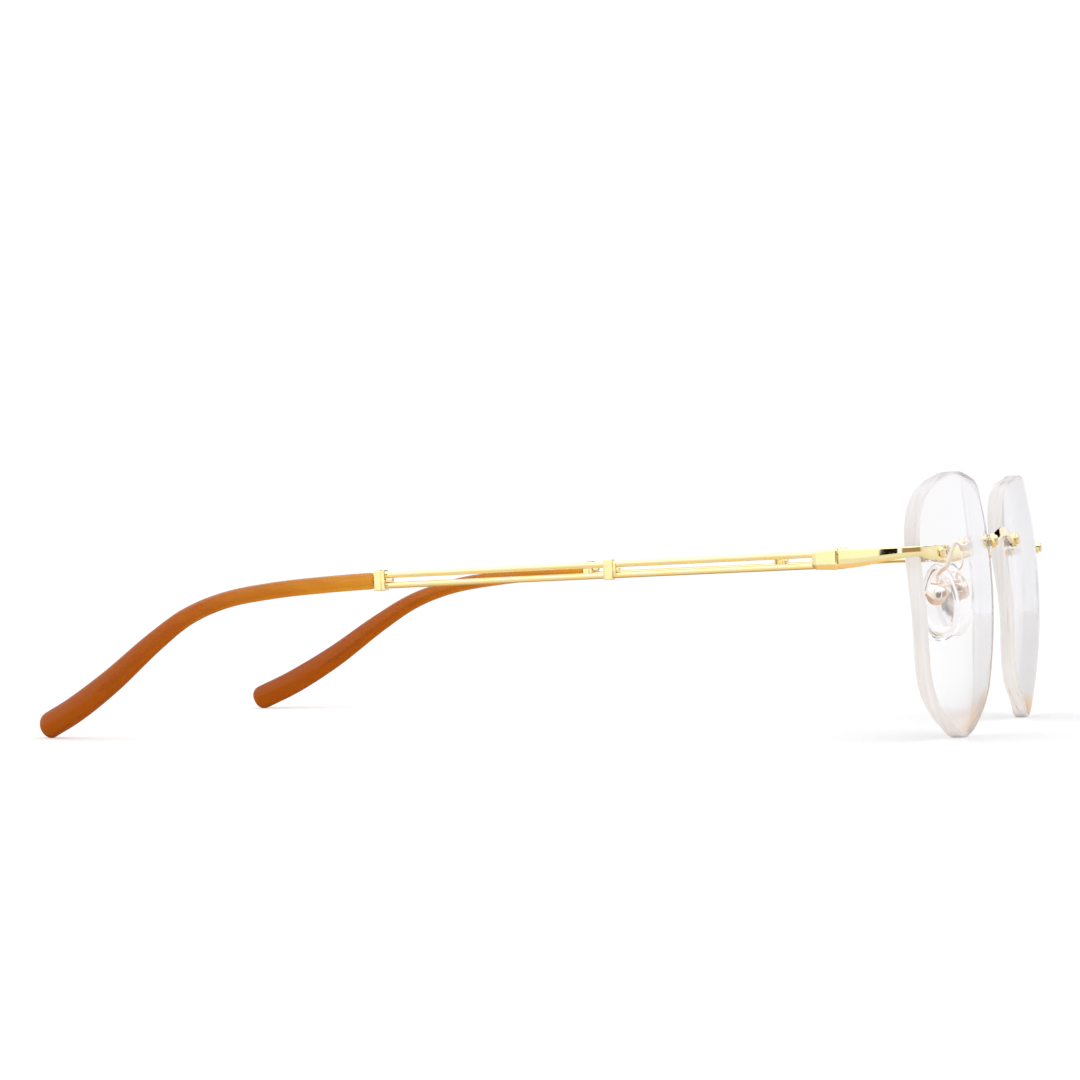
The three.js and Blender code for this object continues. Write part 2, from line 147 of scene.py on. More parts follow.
def smooth(knots, steps):
    """Centripetal Catmull-Rom curve through knots. The first three columns are the place."""
    k = np.asarray(knots, float)
    ext = np.vstack([2 * k[0] - k[1], k, 2 * k[-1] - k[-2]])
    t = (np.arange(steps) / steps)[:, None]
    out = []
    for i in range(len(k) - 1):
        p0, p1, p2, p3 = ext[i:i + 4]
        d = [max(np.linalg.norm((b - a)[:3]) ** 0.5, 1e-6)
             for a, b in ((p0, p1), (p1, p2), (p2, p3))]
        m1 = ((p1 - p0) / d[0] - (p2 - p0) / (d[0] + d[1]) + (p2 - p1) / d[1]) * d[1]
        m2 = ((p2 - p1) / d[1] - (p3 - p1) / (d[1] + d[2]) + (p3 - p2) / d[2]) * d[1]
        out.append(p1 + t * m1 + t * t * (3 * (p2 - p1) - 2 * m1 - m2)
                   + t ** 3 * (2 * (p1 - p2) + m1 + m2))
    out.append(k[-1][None])
    return np.vstack(out)


def evenly(line, count, start=0.0, end=1.0):
    """Points at equal distances along a polyline, from one share of its length to another."""
    step = np.linalg.norm(np.diff(line[:, :3], axis=0), axis=1)
    s = np.concatenate([[0], np.cumsum(step)])
    want = np.linspace(start, end, count) * s[-1]
    return np.stack([np.interp(want, s, line[:, c]) for c in range(line.shape[1])], 1)


def fillet(points, radius, steps=3, loop=True):
    """Polyline with its corners rounded off."""
    pts = [np.asarray(p, float) for p in points]
    out = []
    for i, p in enumerate(pts):
        if not loop and i in (0, len(pts) - 1):
            out.append(p)
            continue
        a, b = pts[i - 1], pts[(i + 1) % len(pts)]
        la, lb = np.linalg.norm(a - p), np.linalg.norm(b - p)
        r = min(radius, 0.45 * la, 0.45 * lb)
        s, e = p + (a - p) / la * r, p + (b - p) / lb * r
        for k in range(steps + 1):
            t = k / steps
            out.append((1 - t) ** 2 * s + 2 * t * (1 - t) * p + t * t * e)
    return np.array(out)


def circle(sides=32):
    a = 2 * np.pi * np.arange(sides) / sides
    return np.stack([np.cos(a), np.sin(a)], 1)


def bar(stations, outline, up=(0, 0, 1)):
    """Bar along stations (x, y, z, half-width, half-height) with the given section."""
    s = np.asarray(stations, float)
    p = s[:, :3]
    along = np.gradient(p, axis=0)
    along /= np.linalg.norm(along, axis=1)[:, None]
    side = np.cross(along, up)
    side /= np.linalg.norm(side, axis=1)[:, None]
    top = np.cross(side, along)
    rings = [p[i] + outline[:, :1] * side[i] * s[i, 3] + outline[:, 1:] * top[i] * s[i, 4]
             for i in range(len(s))]
    return skin(rings)


def column(outline, layers):
    """Section (x, y) stacked along Z; layers are (scale x, scale y, z)."""
    return skin([np.column_stack([outline * (sx, sy), np.full(len(outline), z)])
                 for sx, sy, z in layers])


def lengthwise(outline, layers):
    """Section (x, z) stacked along Y; layers are (y, scale x, scale z)."""
    return skin([np.column_stack([outline[:, 0] * sx, np.full(len(outline), y),
                                  outline[:, 1] * sz]) for y, sx, sz in layers])


def revolve(profile, sides=40, loop=False):
    """Surface of revolution about Z; profile points are (radius, z)."""
    ring = circle(sides)
    return skin([np.column_stack([ring * max(r, 0.004), np.full(sides, z)])
                 for r, z in profile], loop=loop)


def tube(inner, outer, z0, z1, edge=0.06, sides=40):
    corners = [(inner, z0), (outer, z0), (outer, z1), (inner, z1)]
    return revolve(fillet(corners, edge), sides, loop=True)


def brick(w, d, h, edge=0.08):
    half = fillet([(-w / 2, -d / 2), (w / 2, -d / 2), (w / 2, d / 2), (-w / 2, d / 2)], edge)
    inset = (1 - edge / w, 1 - edge / d)
    return column(half, [(*inset, -h / 2), (1, 1, -h / 2 + edge), (1, 1, h / 2 - edge),
                         (*inset, h / 2)])


def scratch(shape, materials=()):
    mesh = bpy.data.meshes.new("scratch")
    mesh.from_pydata(shape.verts.tolist(), [], shape.faces)
    for m in materials:
        mesh.materials.append(m)
    mesh.polygons.foreach_set("material_index", shape.mats)
    bm = bmesh.new()
    bm.from_mesh(mesh)
    bmesh.ops.recalc_face_normals(bm, faces=bm.faces)
    bm.to_mesh(mesh)
    bm.free()
    obj = bpy.data.objects.new("scratch", mesh)
    bpy.context.scene.collection.objects.link(obj)
    return obj


def carve(shape, *tools, materials=()):
    """Shape with the tools cut out of it."""
    body = scratch(shape, materials)
    cutters = [scratch(t, materials) for t in tools]
    for cutter in cutters:
        mod = body.modifiers.new("cut", "BOOLEAN")
        mod.operation, mod.solver, mod.object = "DIFFERENCE", "EXACT", cutter
    bpy.context.view_layer.update()
    made = bpy.data.meshes.new_from_object(
        body.evaluated_get(bpy.context.evaluated_depsgraph_get()))
    verts = np.empty(len(made.vertices) * 3)
    made.vertices.foreach_get("co", verts)
    result = Shape(verts.reshape(-1, 3), [tuple(p.vertices) for p in made.polygons],
                   [p.material_index for p in made.polygons])
    for obj in (body, *cutters):
        old = obj.data
        bpy.data.objects.remove(obj)
        bpy.data.meshes.remove(old)
    bpy.data.meshes.remove(made)
    return result


def piece(name, shape, body, materials, sharp=32.0):
    """Shape as a named piece that stands for the CAD node of the same name."""
    mesh = bpy.data.meshes.new(name)
    verts = (shape.verts - (0, FORWARD, 0)) * MM
    mesh.from_pydata(verts.tolist(), [], shape.faces)
    for m in materials:
        mesh.materials.append(m)
    mesh.polygons.foreach_set("material_index", shape.mats)
    bm = bmesh.new()
    bm.from_mesh(mesh)
    bmesh.ops.remove_doubles(bm, verts=bm.verts, dist=2e-7)
    bmesh.ops.dissolve_degenerate(bm, edges=bm.edges, dist=1e-8)
    bmesh.ops.recalc_face_normals(bm, faces=bm.faces)
    bm.to_mesh(mesh)
    bm.free()
    mesh.shade_smooth()
    mesh.set_sharp_from_angle(angle=math.radians(sharp))
    obj = bpy.data.objects.new(name + ".fine", mesh)
    bpy.context.scene.collection.objects.link(obj)
    normals = obj.modifiers.new("normals", "WEIGHTED_NORMAL")
    normals.keep_sharp = True
    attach(obj, body)
    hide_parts(name)
    return obj


def pair(name, shape, body, materials, sharp=32.0):
    """The left piece and its mirror image. A body that moves has a side of its own."""
    for side, drawn in (("left", shape), ("right", shape.mirrored())):
        rides = body if body == "front" else f"{side}_{body}"
        piece(f"{side}_{name}", drawn, rides, materials, sharp)


# ------------------------------------------------------------------ materials
def new_material(name):
    mat = bpy.data.materials.new(name)
    mat.use_nodes = True
    nodes, links = mat.node_tree.nodes, mat.node_tree.links
    shader = nodes["Principled BSDF"]
    return mat, nodes, links, shader


def coordinates(nodes, links, scale):
    place = nodes.new("ShaderNodeTexCoord")
    mapping = nodes.new("ShaderNodeMapping")
    mapping.inputs["Scale"].default_value = scale
    links.new(place.outputs["Object"], mapping.inputs["Vector"])
    return mapping.outputs["Vector"]


def noise(nodes, links, vector, scale, detail=3.0, distortion=0.0):
    tex = nodes.new("ShaderNodeTexNoise")
    tex.inputs["Scale"].default_value = scale
    tex.inputs["Detail"].default_value = detail
    tex.inputs["Distortion"].default_value = distortion
    links.new(vector, tex.inputs["Vector"])
    return tex.outputs["Fac"]


def ramp(nodes, links, value, stops):
    made = nodes.new("ShaderNodeValToRGB")
    first, last = made.color_ramp.elements[0], made.color_ramp.elements[1]
    first.position, first.color = stops[0][0], (*stops[0][1], 1)
    last.position, last.color = stops[-1][0], (*stops[-1][1], 1)
    for position, colour in stops[1:-1]:
        made.color_ramp.elements.new(position).color = (*colour, 1)
    links.new(value, made.inputs["Fac"])
    return made.outputs["Color"]


def spread(nodes, links, value, low, high):
    made = nodes.new("ShaderNodeMapRange")
    made.inputs["From Min"].default_value = 0.3
    made.inputs["From Max"].default_value = 0.7
    made.inputs["To Min"].default_value = low
    made.inputs["To Max"].default_value = high
    links.new(value, made.inputs["Value"])
    return made.outputs["Result"]


def bump(nodes, links, shader, height, strength, distance):
    made = nodes.new("ShaderNodeBump")
    made.inputs["Strength"].default_value = strength
    made.inputs["Distance"].default_value = distance
    links.new(height, made.inputs["Height"])
    links.new(made.outputs["Normal"], shader.inputs["Normal"])


def metal(name, light, dark, rough, grain=700.0, relief=0.04):
    """Polished metal: slow colour drift, fine polishing haze and slight waviness."""
    mat, nodes, links, shader = new_material(name)
    shader.inputs["Metallic"].default_value = 1.0
    vector = coordinates(nodes, links, (1, 1, 1))
    drift = noise(nodes, links, vector, grain * 0.35)
    links.new(ramp(nodes, links, drift, [(0.3, dark), (0.7, light)]),
              shader.inputs["Base Color"])
    haze = noise(nodes, links, vector, grain * 2.2, 6.0)
    links.new(spread(nodes, links, haze, rough * 0.7, rough * 1.4), shader.inputs["Roughness"])
    waves = noise(nodes, links, vector, grain, 2.0)
    bump(nodes, links, shader, waves, relief, 0.00002)
    return mat


def clear(name, light, dark, rough, ior, grain=500.0):
    """Clear moulded material: faint tone drift and a soft moulded surface."""
    mat, nodes, links, shader = new_material(name)
    shader.inputs["Transmission Weight"].default_value = 1.0
    shader.inputs["IOR"].default_value = ior
    vector = coordinates(nodes, links, (1, 1, 1))
    drift = noise(nodes, links, vector, grain * 0.5)
    links.new(ramp(nodes, links, drift, [(0.3, dark), (0.7, light)]),
              shader.inputs["Base Color"])
    haze = noise(nodes, links, vector, grain, 4.0)
    links.new(spread(nodes, links, haze, rough * 0.6, rough * 1.4), shader.inputs["Roughness"])
    bump(nodes, links, shader, noise(nodes, links, vector, grain * 2, 2.0), 0.05, 0.00002)
    return mat


GOLD = metal("polished_gold", (1.0, 0.87, 0.47), (0.98, 0.83, 0.42), 0.05)
PALE_GOLD = metal("pale_rose_gold", (1.0, 0.84, 0.70), (0.96, 0.79, 0.64), 0.08)
SCREW_METAL = metal("gold_fastener", (0.95, 0.80, 0.50), (0.90, 0.73, 0.42), 0.12)
CORE_STEEL = metal("core_wire", (0.92, 0.88, 0.80), (0.84, 0.80, 0.72), 0.2)
SILICONE = clear("clear_silicone", (1.0, 0.995, 0.99), (0.975, 0.965, 0.965), 0.06, 1.41)
PLASTIC = clear("clear_bushing", (0.99, 0.985, 0.97), (0.95, 0.94, 0.92), 0.12, 1.46)


def lens_material():
    mat, nodes, links, shader = new_material("coated_lens")
    shader.inputs["Transmission Weight"].default_value = 1.0
    shader.inputs["IOR"].default_value = 1.5
    shader.inputs["Thin Film Thickness"].default_value = 105.0
    shader.inputs["Thin Film IOR"].default_value = 1.38
    vector = coordinates(nodes, links, (1, 1, 1))
    drift = noise(nodes, links, vector, 60.0)
    links.new(ramp(nodes, links, drift, [(0.3, (0.935, 0.93, 0.94)), (0.7, (0.955, 0.95, 0.955))]),
              shader.inputs["Base Color"])
    haze = noise(nodes, links, vector, 300.0)
    links.new(spread(nodes, links, haze, 0.0, 0.012), shader.inputs["Roughness"])
    bump(nodes, links, shader, noise(nodes, links, vector, 40.0, 1.0), 0.01, 0.00001)
    return mat


def edge_material():
    """Ground and polished lens edge: satin, with long faint grinding lines."""
    mat, nodes, links, shader = new_material("ground_lens_edge")
    shader.inputs["Transmission Weight"].default_value = 0.15
    shader.inputs["IOR"].default_value = 1.5
    vector = coordinates(nodes, links, (90, 1500, 90))
    lines = noise(nodes, links, vector, 1.0, 4.0)
    links.new(ramp(nodes, links, lines, [(0.35, (0.90, 0.855, 0.83)), (0.65, (0.98, 0.955, 0.94))]),
              shader.inputs["Base Color"])
    links.new(spread(nodes, links, lines, 0.25, 0.5), shader.inputs["Roughness"])
    bump(nodes, links, shader, lines, 0.15, 0.00002)
    return mat


def acetate_material():
    """Polished translucent amber, deeper in colour towards the end of the tip."""
    mat, nodes, links, shader = new_material("amber_acetate")
    shader.inputs["IOR"].default_value = 1.49
    shader.inputs["Specular IOR Level"].default_value = 0.08
    shader.inputs["Transmission Weight"].default_value = 0.35
    shader.inputs["Subsurface Weight"].default_value = 0.3
    shader.inputs["Subsurface Radius"].default_value = (0.0012, 0.0004, 0.0001)
    shader.inputs["Subsurface Scale"].default_value = 1.0
    place = nodes.new("ShaderNodeTexCoord")
    split = nodes.new("ShaderNodeSeparateXYZ")
    links.new(place.outputs["Object"], split.inputs["Vector"])
    along = nodes.new("ShaderNodeMapRange")
    along.inputs["From Min"].default_value = 0.014
    along.inputs["From Max"].default_value = 0.079
    links.new(split.outputs["Y"], along.inputs["Value"])
    vector = coordinates(nodes, links, (1, 0.25, 1))
    cloud = noise(nodes, links, vector, 420.0, 4.0, 0.6)
    shift = nodes.new("ShaderNodeMath")
    shift.operation = "MULTIPLY_ADD"
    links.new(cloud, shift.inputs[0])
    shift.inputs[1].default_value = 0.36
    links.new(along.outputs["Result"], shift.inputs[2])
    links.new(ramp(nodes, links, shift.outputs["Value"], [
        (0.1, (0.92, 0.42, 0.03)), (0.4, (0.70, 0.25, 0.008)), (0.75, (0.53, 0.12, 0.001)),
        (1.0, (0.47, 0.10, 0.0))]), shader.inputs["Base Color"])
    fine = noise(nodes, links, vector, 1500.0, 4.0)
    links.new(spread(nodes, links, fine, 0.07, 0.15), shader.inputs["Roughness"])
    bump(nodes, links, shader, noise(nodes, links, vector, 300.0, 1.0), 0.03, 0.00002)
    return mat


LENS_GLASS = lens_material()
LENS_EDGE = edge_material()
ACETATE = acetate_material()


# ------------------------------------------------------------------ lens surface and frames
def rotation(axis, angle):
    return np.array(Matrix.Rotation(angle, 4, axis))


lens_pose = (np.array(Matrix.Translation(LENS_CENTRE)) @ rotation("Z", LENS_WRAP)
             @ rotation("X", -LENS_LEAN))


def lens_points(u, v, depth):
    u, v = np.asarray(u, float), np.asarray(v, float)
    sag = LENS_FRONT_R - np.sqrt(LENS_FRONT_R ** 2 - u * u - v * v)
    local = np.stack([u, sag + depth, v], -1)
    return local @ lens_pose[:3, :3].T + lens_pose[:3, 3]


def lens_frame(u, v):
    """Frame on the front face of the lens: X temporal, Y up, Z out of the face."""
    step = 0.01
    origin = lens_points(u, v, 0)
    x = unit(lens_points(u + step, v, 0) - origin)
    z = unit(np.cross(x, lens_points(u, v + step, 0) - origin))
    return basis(x, np.cross(z, x), z, origin)


endpiece_frame = lens_frame(*ENDPIECE_HOLE)
bridge_frame = lens_frame(*BRIDGE_HOLE)


def outline_radius(angle):
    """Radius in a direction, by trigonometric interpolation of the evenly spaced radii."""
    count = len(LENS_RADII)
    total = 0.0
    for i, r in enumerate(LENS_RADII):
        offset = angle - 2 * np.pi * i / count
        waves = [2 * np.cos(k * offset) for k in range(1, count // 2)]
        total = total + r * (1 + sum(waves) + np.cos(offset * count / 2)) / count
    return total


def lens():
    rim = circle(192)
    rim *= outline_radius(np.arctan2(rim[:, 1], rim[:, 0]))[:, None]
    inset = 1 - EDGE_CHAMFER / 24
    face = [0.02, 0.15, 0.3, 0.45, 0.6, 0.72, 0.82, 0.9, 0.96, inset]
    c = EDGE_CHAMFER
    edge = [(1, c * 0.9), (1, 0.9), (1, 1.7), (1, LENS_THICK - c * 0.9)]
    layers = [(s, 0) for s in face] + edge + [(s, LENS_THICK) for s in face[::-1]]
    body = skin([lens_points(rim[:, 0] * s, rim[:, 1] * s, d) for s, d in layers])
    first, last = len(face) - 1, len(face) + len(edge)
    sectors = len(rim)
    body.mats = [1 if first <= i // sectors < last else 0 for i in range(len(body.faces))]
    holes = []
    for place in (endpiece_frame, bridge_frame):
        hole = revolve([(LENS_HOLE_R, -LENS_THICK - 2), (LENS_HOLE_R, 2)], 48).moved(place)
        hole.mats = [1] * len(hole.faces)
        holes.append(hole)
    return carve(body, *holes, materials=(LENS_GLASS, LENS_EDGE))


# ------------------------------------------------------------------ screw stacks
def bushing():
    corners = [(0.65, LENS_BACK + 0.2), (SLEEVE_R, LENS_BACK + 0.2), (SLEEVE_R, GAP),
               (FLANGE_R, GAP), (FLANGE_R, 0.34), (0.65, 0.34)]
    return revolve(fillet(corners, 0.06), loop=True)


def back_washer():
    return tube(0.65, FLANGE_R, LENS_BACK - 0.4, LENS_BACK - SEAT_GAP)


def slot_cutter(width, depth, length, z):
    return brick(length, width, depth * 2, 0.02).shifted(z=z)


def tab_screw(length):
    top = TAB[1] + 0.01
    head = [(0.0, -length), (0.45, -length), (SCREW_R, -length + 0.12), (SCREW_R, top),
            (0.92, top), (0.92, top + 0.24), (0.68, top + 0.46), (0.0, top + 0.56)]
    body = revolve(fillet(head, 0.09, loop=False))
    return carve(body, slot_cutter(0.2, 0.24, 3, top + 0.58))


def cap_nut(start, radius, height):
    outline = [(0.0, 0.0), (0.9, 0.0), (1.0, 0.07), (1.0, 0.57), (0.82, 0.83), (0.46, 0.97),
               (0.0, 1.0)]
    body = revolve([(radius * r, start - height * z)
                    for r, z in fillet(outline, 0.1, loop=False)])
    notch = revolve([(0.3, start - 0.9 * height), (0.3, start - 2)], 6)
    return carve(body, notch)


# ------------------------------------------------------------------ endpiece and hinge
# section with a flat outer face, a small top edge and a broad facet underneath
FACETED = fillet([(-0.72, -1), (0.5, -1), (1, -0.52), (1, 0.8), (0.78, 1), (-0.72, 1),
                  (-1, 0.75), (-1, -0.7)], 0.07, 2)
PLATE = fillet([(-1, -1), (1, -1), (1, 1), (-1, 1)], 0.12, 3)


def endpiece():
    half = (TAB[1] - TAB[0]) / 2
    tab_end = []
    for a in np.linspace(0.12, math.pi / 2, 12):
        x = -0.08 - 1.12 * math.cos(a)
        tab_end.append([*at(endpiece_frame, x, 0, TAB_MID), half - 0.05 * math.cos(a) ** 4,
                        1.12 * math.sin(a)])
    arm = [tab_end[-1],
           [*at(endpiece_frame, 1.5, 0, TAB_MID), half, 1.12],
           [*at(endpiece_frame, 3.4, 0, TAB_MID), half, 1.08],
           [*at(endpiece_frame, 5.2, 0.1, TAB_MID), half + 0.05, 0.92],
           [60.2, 5.2, 30.95, 0.5, 0.8], [61.7, 6.5, 30.85, 0.55, 0.85],
           [62.9, 8.4, 30.65, 0.6, 0.98], [63.6, 10.8, 30.4, 0.68, 1.17],
           [64.0, 13.6, 30.08, 0.82, 1.42], [ARM_X, 15.6, 29.93, 0.95, 1.56],
           [ARM_X, HINGE[1] - 0.12, 29.86, 1.0, 1.6]]
    body = bar(tab_end[:-1] + list(smooth(arm, 10)), FACETED)
    for low, high in ((30.56, 31.3), (28.4, 29.14)):
        body += tube(HINGE_SCREW_R + 0.06, KNUCKLE_R, low, high).shifted(HINGE[0], HINGE[1])
        body += brick(2.2, 0.95, high - low).shifted(HINGE[0] + 1.1, HINGE[1] - 0.62,
                                                    (low + high) / 2)
    return body


def hinge_screw():
    top = 31.33
    head = [(0.0, 28.2), (0.38, 28.2), (HINGE_SCREW_R, 28.32), (HINGE_SCREW_R, top),
            (0.86, top), (0.86, top + 0.16), (0.66, top + 0.34), (0.0, top + 0.38)]
    body = revolve(fillet(head, 0.07, loop=False))
    return carve(body, slot_cutter(0.18, 0.16, 2.2, top + 0.38)).shifted(HINGE[0], HINGE[1])


# ------------------------------------------------------------------ temple
temple_span = TEMPLE_END - TEMPLE_START
TEMPLE_LENGTH = float(np.linalg.norm(temple_span))
temple_y = unit(temple_span)
temple_x = unit(np.cross(temple_y, (0, 0, 1)))
temple_frame = basis(temple_x, temple_y, np.cross(temple_x, temple_y), TEMPLE_START)


def temple_block():
    body = lengthwise(FACETED, [
        (0, 0.97, 1.6), (0.07, 1.03, 1.66), (0.3, 1.12, 1.68), (1.8, 1.12, 1.6),
        (3.3, 1.12, 1.53), (3.42, 1.1, 1.51), (4.0, 0.8, 1.3), (BLOCK_LENGTH, 0.7, 1.22)])
    body = body.moved(temple_frame)
    knuckle = tube(HINGE_SCREW_R + 0.06, KNUCKLE_R, 29.2, 30.5).shifted(HINGE[0], HINGE[1])
    lug = brick(2.2, 0.95, 1.3).shifted(HINGE[0] + 1.1, HINGE[1] + 0.65, 29.85)
    return body + knuckle + lug


def temple_wire(sign):
    """Round wire let into the block, the clasp and the ferrule."""
    stations = []
    for y in np.linspace(BLOCK_LENGTH - 0.25, TEMPLE_LENGTH - 1.6, 24):
        pitch = sign * (WIRE_HALF_PITCH - 0.08 * y / TEMPLE_LENGTH)
        stations.append([*at(temple_frame, 0, y, pitch), WIRE_R, WIRE_R])
    return bar(stations, circle(32))


def mid_clasp():
    sleeve = lengthwise(PLATE, [(-0.8, 0.9, 1.5), (-0.72, 1.0, 1.6), (-0.5, 1.05, 1.65),
                                (0.5, 1.05, 1.65), (0.72, 1.0, 1.6), (0.8, 0.9, 1.5)])
    collar = lengthwise(PLATE, [(-1.28, 0.6, 0.95), (-1.2, 0.68, 1.05), (-0.86, 0.68, 1.05),
                                (-0.7, 0.68, 1.05)])
    tongue = lengthwise(PLATE, [(-1.8, 0.4, 0.14), (-1.7, 0.55, 0.24), (-1.1, 0.6, 0.25)])
    return (sleeve + collar + tongue).shifted(y=CLASP_AT + 0.8).moved(temple_frame)


def ferrule():
    body = lengthwise(PLATE, [
        (0.95, 1.2, 1.58), (0.85, 1.3, 1.66), (0.7, 1.35, 1.7), (-0.2, 1.35, 1.7),
        (-0.27, 1.25, 1.6), (-0.37, 1.25, 1.6), (-0.44, 1.32, 1.66), (-0.86, 1.32, 1.66),
        (-0.95, 1.2, 1.55)])
    tongue = lengthwise(PLATE, [(-2.1, 0.3, 0.14), (-1.95, 0.5, 0.25), (-0.8, 0.6, 0.25)])
    middle = TEMPLE_LENGTH - FERRULE_LENGTH / 2
    return (body + tongue).shifted(y=middle).moved(temple_frame)


# ------------------------------------------------------------------ acetate tip and core
tip_line = smooth([
    at(temple_frame, 0, TEMPLE_LENGTH + 0.12, 0),
    (66.0, 102, 26.2), (65.5, 112, 25.2), (64.3, 121, 23.6), (62.8, 128.2, 20.9),
    (61.1, 134.6, 16.8), (58.4, 144.0, 9.7), (55.8, 151.6, 4.85), (53.9, 156.6, 2.3)], 40)


def temple_tip():
    line = evenly(tip_line, 80)
    t = np.linspace(0, 1, 80)
    s = np.clip((t - 0.35) / 0.6, 0, 1)
    swell = s * s * (3 - 2 * s)
    width, height = 1.35 + 0.33 * swell, 1.38 + 0.92 * swell
    mouth = 1 - 0.12 * np.clip(1 - t * 80, 0, 1)
    stations = np.column_stack([line, width * mouth, height * mouth])
    heading = unit(line[-1] - line[-2])
    for step in 2.2 * np.sin(np.linspace(0.12, 1.5, 12)):
        scale = (1 - (step / 2.22) ** 2.3) ** (1 / 2.3)
        stations = np.vstack([stations, [*(line[-1] + heading * step), width[-1] * scale,
                                         height[-1] * scale]])
    return bar(stations, circle(40))


def tip_core():
    line = evenly(tip_line, 60, 0.0, 0.82)
    share = np.linspace(0, 0.82, 60)
    radius = CORE_R * np.clip((0.83 - share) / 0.05, 0.15, 1)
    stations = np.column_stack([line, radius, radius])
    start = [*at(temple_frame, 0, TEMPLE_LENGTH - 1.0, 0), CORE_R, CORE_R]
    return bar(np.vstack([start, stations]), circle(24))


# ------------------------------------------------------------------ bridge
def bridge():
    root = at(bridge_frame, 0.2, 0.1, TAB_MID)
    half = [[*root, 0.38, 0.9], [10.4, 0.95, 32.5, 0.38, 0.85], [8.2, 0.9, 32.9, 0.38, 0.8],
            [5.6, 0.85, 33.4, 0.38, 0.8], [2.8, 0.85, 33.75, 0.38, 0.8]]
    flipped = [[-x, y, z, w, h] for x, y, z, w, h in half[::-1]]
    arch = smooth(half + [[0, 0.85, 33.85, 0.38, 0.8]] + flipped, 12)
    disc = revolve(fillet([(0.0, TAB[0]), (1.25, TAB[0]), (1.25, TAB[1]), (0.0, TAB[1])],
                          0.12, loop=False)).moved(bridge_frame)
    # flat back, and a front that leans back above its lower edge
    section = fillet([(1, -1), (1, 1), (0.6, 1), (-1, -0.3), (-1, -0.75), (-0.8, -1)], 0.12, 3)
    return bar(arch, section) + disc + disc.mirrored()


# ------------------------------------------------------------------ nose pads
pad_z = np.array((-math.cos(PAD_SPLAY) * math.cos(PAD_FLARE),
                  math.sin(PAD_SPLAY) * math.cos(PAD_FLARE), -math.sin(PAD_FLARE)))
pad_x = unit(np.cross((0, 0, 1), pad_z))
pad_frame = basis(pad_x, np.cross(pad_z, pad_x), pad_z, PAD_BOX + 2.05 * pad_z)


def pad_arm():
    plate = (LENS_BACK - 0.98, LENS_BACK - 0.46)
    depth = sum(plate) / 2
    end = at(pad_frame, 0, PAD_BOX_R + 0.1, -2.15)
    path = smooth([at(bridge_frame, 0.9, -0.1, depth), at(bridge_frame, 1.8, -0.2, depth - 0.1),
                   at(bridge_frame, 2.15, -0.3, depth - 0.9), (14.65, 6.7, 32.1),
                   (14.65, 7.5, 30.8), (14.5, 8.5, 28.0), end + (0.05, -0.25, 1.3),
                   end + (0, 0, -0.2)], 10)
    r = np.full(len(path), 0.38)
    wire = bar(np.column_stack([path, r, r]), circle(24), up=(1, 0.3, 0))
    collar_axis = unit((0.05, -0.25, 1.3))
    x = unit(np.cross((0, 1, 0), collar_axis))
    collar_frame = basis(x, np.cross(collar_axis, x), collar_axis, end)
    collar = revolve(fillet([(0.0, -0.5), (0.78, -0.5), (0.95, -0.2), (0.95, 0.12), (0.6, 0.3),
                             (0.0, 0.32)], 0.08, loop=False)).moved(collar_frame)
    eyelet = tube(SCREW_R + 0.08, 1.2, *plate).moved(bridge_frame)
    return eyelet + wire + collar


def pad_box():
    outer = [(0.0, -3.12), (0.9, -3.04), (1.5, -2.78), (1.78, -2.42), (PAD_BOX_R, -2.0),
             (PAD_BOX_R, -1.2), (1.4, -1.2), (1.35, -2.4), (0.0, -2.4)]
    return revolve(fillet(outer, 0.25, 4, loop=False), 48).moved(pad_frame)


def pad_screw():
    shaft = [(0.0, -1.98), (0.26, -1.98), (0.32, -1.9), (0.32, 1.9), (0.56, 1.9), (0.56, 2.1),
             (0.4, 2.24), (0.0, 2.28)]
    body = carve(revolve(fillet(shaft, 0.06, loop=False), 28),
                 slot_cutter(0.14, 0.12, 1.6, 2.3))
    turn = rotation("Y", -math.pi / 2)
    return body.moved(turn).shifted(z=PAD_PIVOT_Z).moved(pad_frame)


def nose_pad():
    """Teardrop pad with a raised rim round its dished back, and the post that holds it."""
    angle = 2 * np.pi * np.arange(72) / 72
    narrow = 1 - 0.18 * np.sin(angle)
    outline = np.stack([3.45 * narrow * np.cos(angle), 6.85 * np.sin(angle)], 1)
    profile = smooth([(0.02, 0.42, 0), (0.45, 0.42, 0), (0.68, 0.34, 0), (0.8, 0.04, 0),
                      (0.9, 0.1, 0), (0.975, 0.45, 0), (1.0, 0.95, 0), (0.93, 1.6, 0),
                      (0.7, 2.12, 0), (0.35, 2.36, 0), (0.02, 2.4, 0)], 4)
    rings = [np.column_stack([outline * s + (0.7, -0.7), np.full(72, z)])
             for s, z, _ in profile]
    post = brick(1.3, 1.5, 2.2, 0.15).shifted(z=PAD_PIVOT_Z + 0.75)
    return (skin(rings) + post).moved(pad_frame)


